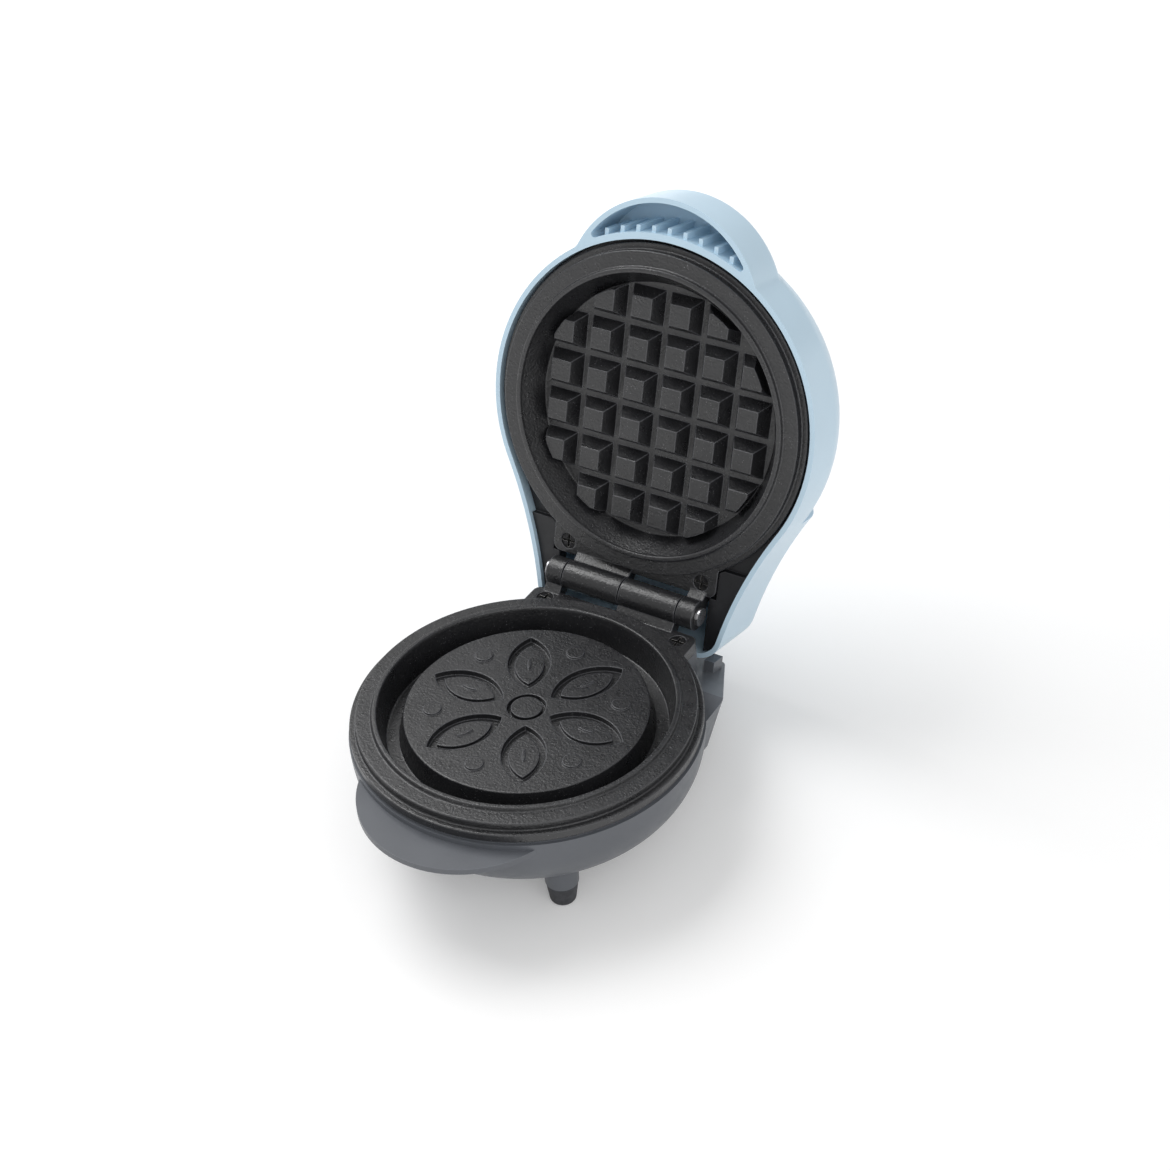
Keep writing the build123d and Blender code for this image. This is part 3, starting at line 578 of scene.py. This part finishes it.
def floor_finish(values):
    """Pale matt floor with a faint mottle, lifted towards white where it is seen or mirrored."""
    finish = Finish("floor_finish")
    mottle = finish.span(finish.noise(0.08), 0.3, 0.7)
    colour = finish.mix(mottle, tint(values.floor_colour, 0.99), tint(values.floor_colour, 1.0))
    finish.surface(Base_Color=colour, Roughness=0.9, Specular_IOR_Level=0.1)
    path = finish.add("ShaderNodeLightPath").outputs
    first = {0: path["Is Camera Ray"], 1: path["Is Glossy Ray"]}
    seen = finish.add("ShaderNodeMath", first, operation="MAXIMUM").outputs[0]
    second = {0: seen, 1: path["Is Transmission Ray"]}
    seen = finish.add("ShaderNodeMath", second, operation="MAXIMUM").outputs[0]
    away = finish.add("ShaderNodeVectorMath", {0: finish.place}, operation="LENGTH")
    far = finish.span(away.outputs["Value"], low=0.3, high=1.4, to_low=0.18, to_high=0.9)
    lift = finish.add("ShaderNodeMath", {0: seen, 1: far}, operation="MULTIPLY")
    glow = finish.add("ShaderNodeEmission", {"Color": WHITE, "Strength": lift.outputs[0]})
    both = finish.add("ShaderNodeAddShader", {0: finish.shader.outputs[0], 1: glow.outputs[0]})
    finish.put(finish.output.inputs["Surface"], both.outputs[0])
    return finish.material


def soft_lamp(name, power, width, place):
    """A square lamp that points from its place at the object."""
    data = bpy.data.lights.new(name, "AREA")
    data.shape = "SQUARE"
    data.size = width
    data.energy = power
    lamp = bpy.data.objects.new(name, data)
    bpy.context.scene.collection.objects.link(lamp)
    lamp.location = place
    lamp.rotation_euler = (Vector(LAMP_AIM) - Vector(place)).to_track_quat("-Z", "Y").to_euler()


def place_camera(values):
    """Stands the camera where the photograph was taken from: turned, raised and slightly rolled."""
    a, e = values.azimuth, values.elevation
    right = Vector((math.cos(a), math.sin(a), 0.0))
    back = Vector((math.sin(a) * math.cos(e), -math.cos(a) * math.cos(e), math.sin(e)))
    up = back.cross(right)
    place = Vector(PLATE_CENTRE) + VIEW_ASIDE * right + VIEW_ABOVE * up + values.distance * back
    turned_right = math.cos(values.roll) * right + math.sin(values.roll) * up
    turned_up = math.cos(values.roll) * up - math.sin(values.roll) * right
    matrix = Matrix((turned_right, turned_up, back)).transposed().to_4x4()
    matrix.translation = place
    data = bpy.data.cameras.new("camera")
    data.sensor_width = SENSOR_MM
    data.lens = LENS_MM
    data.clip_start = NEAREST_SEEN
    camera = bpy.data.objects.new("camera", data)
    bpy.context.scene.collection.objects.link(camera)
    camera.matrix_world = matrix
    bpy.context.scene.camera = camera


def even_sky(level):
    """Even white light from all round, seen as plain white by the camera and through glass."""
    world = bpy.data.worlds.new("room")
    bpy.context.scene.world = world
    world.use_nodes = True
    tree = world.node_tree
    tree.nodes.clear()
    path = tree.nodes.new("ShaderNodeLightPath")
    seen = tree.nodes.new("ShaderNodeMath")
    seen.operation = "MAXIMUM"
    tree.links.new(path.outputs["Is Camera Ray"], seen.inputs[0])
    tree.links.new(path.outputs["Is Transmission Ray"], seen.inputs[1])
    strength = tree.nodes.new("ShaderNodeMapRange")
    tree.links.new(seen.outputs[0], strength.inputs[0])
    strength.inputs[3].default_value = level
    strength.inputs[4].default_value = 1.0
    light = tree.nodes.new("ShaderNodeBackground")
    light.inputs["Color"].default_value = WHITE
    tree.links.new(strength.outputs[0], light.inputs["Strength"])
    output = tree.nodes.new("ShaderNodeOutputWorld")
    tree.links.new(light.outputs[0], output.inputs["Surface"])


class WAFFLE_OT_stage(Operator):
    """Lays the pale floor, hangs the soft lamps and stands the camera"""

    bl_idname = "waffle.stage"
    bl_label = "Set the stage"

    def execute(self, context):
        values = settings(context, "room")
        floor = bpy.data.objects.new("floor", floor_surface(FLOOR_HALF_WIDTH, FLOOR_ROWS))
        context.scene.collection.objects.link(floor)
        floor.data.materials.append(floor_finish(values))
        soft_lamp("key_lamp", values.key_power, width=0.7, place=(-0.6, 0.05, 0.95))
        soft_lamp("fill_lamp", values.fill_power, width=0.9, place=(0.75, -0.6, 0.7))
        even_sky(values.sky_level)
        place_camera(values)
        context.scene.view_settings.view_transform = "Standard"
        return {"FINISHED"}


class WAFFLE_PT_panel(Panel):
    """The steps that finish the waffle maker, in their order"""

    bl_idname = "WAFFLE_PT_panel"
    bl_label = "Waffle Maker"
    bl_space_type = "VIEW_3D"
    bl_region_type = "UI"
    bl_category = "Waffle Maker"

    def draw(self, context):
        for step in steps:
            self.layout.operator(step.bl_idname)


steps = (
    WAFFLE_OT_plates,
    WAFFLE_OT_cover,
    WAFFLE_OT_casing,
    WAFFLE_OT_liner,
    WAFFLE_OT_rubber,
    WAFFLE_OT_hinge,
    WAFFLE_OT_heating,
    WAFFLE_OT_controls,
    WAFFLE_OT_stage,
)
groups = {
    "coating": CoatingSettings,
    "cover": CoverSettings,
    "casing": CasingSettings,
    "room": RoomSettings,
}


def register():
    """Adds the settings, the steps and the panel to Blender."""
    for name, group in groups.items():
        bpy.utils.register_class(group)
        setattr(bpy.types.Scene, f"waffle_{name}", PointerProperty(type=group))
    for step in steps:
        bpy.utils.register_class(step)
    bpy.utils.register_class(WAFFLE_PT_panel)


def unregister():
    """Takes the panel, the steps and the settings out of Blender again."""
    bpy.utils.unregister_class(WAFFLE_PT_panel)
    for step in reversed(steps):
        bpy.utils.unregister_class(step)
    for name, group in reversed(list(groups.items())):
        delattr(bpy.types.Scene, f"waffle_{name}")
        bpy.utils.unregister_class(group)


def main():
    """Finishes every piece in order."""
    register()
    bpy.ops.waffle.plates()
    bpy.ops.waffle.cover()
    bpy.ops.waffle.casing()
    bpy.ops.waffle.liner()
    bpy.ops.waffle.rubber()
    bpy.ops.waffle.hinge()
    bpy.ops.waffle.heating()
    bpy.ops.waffle.controls()
    bpy.ops.waffle.stage()


if __name__ == "__main__":
    main()
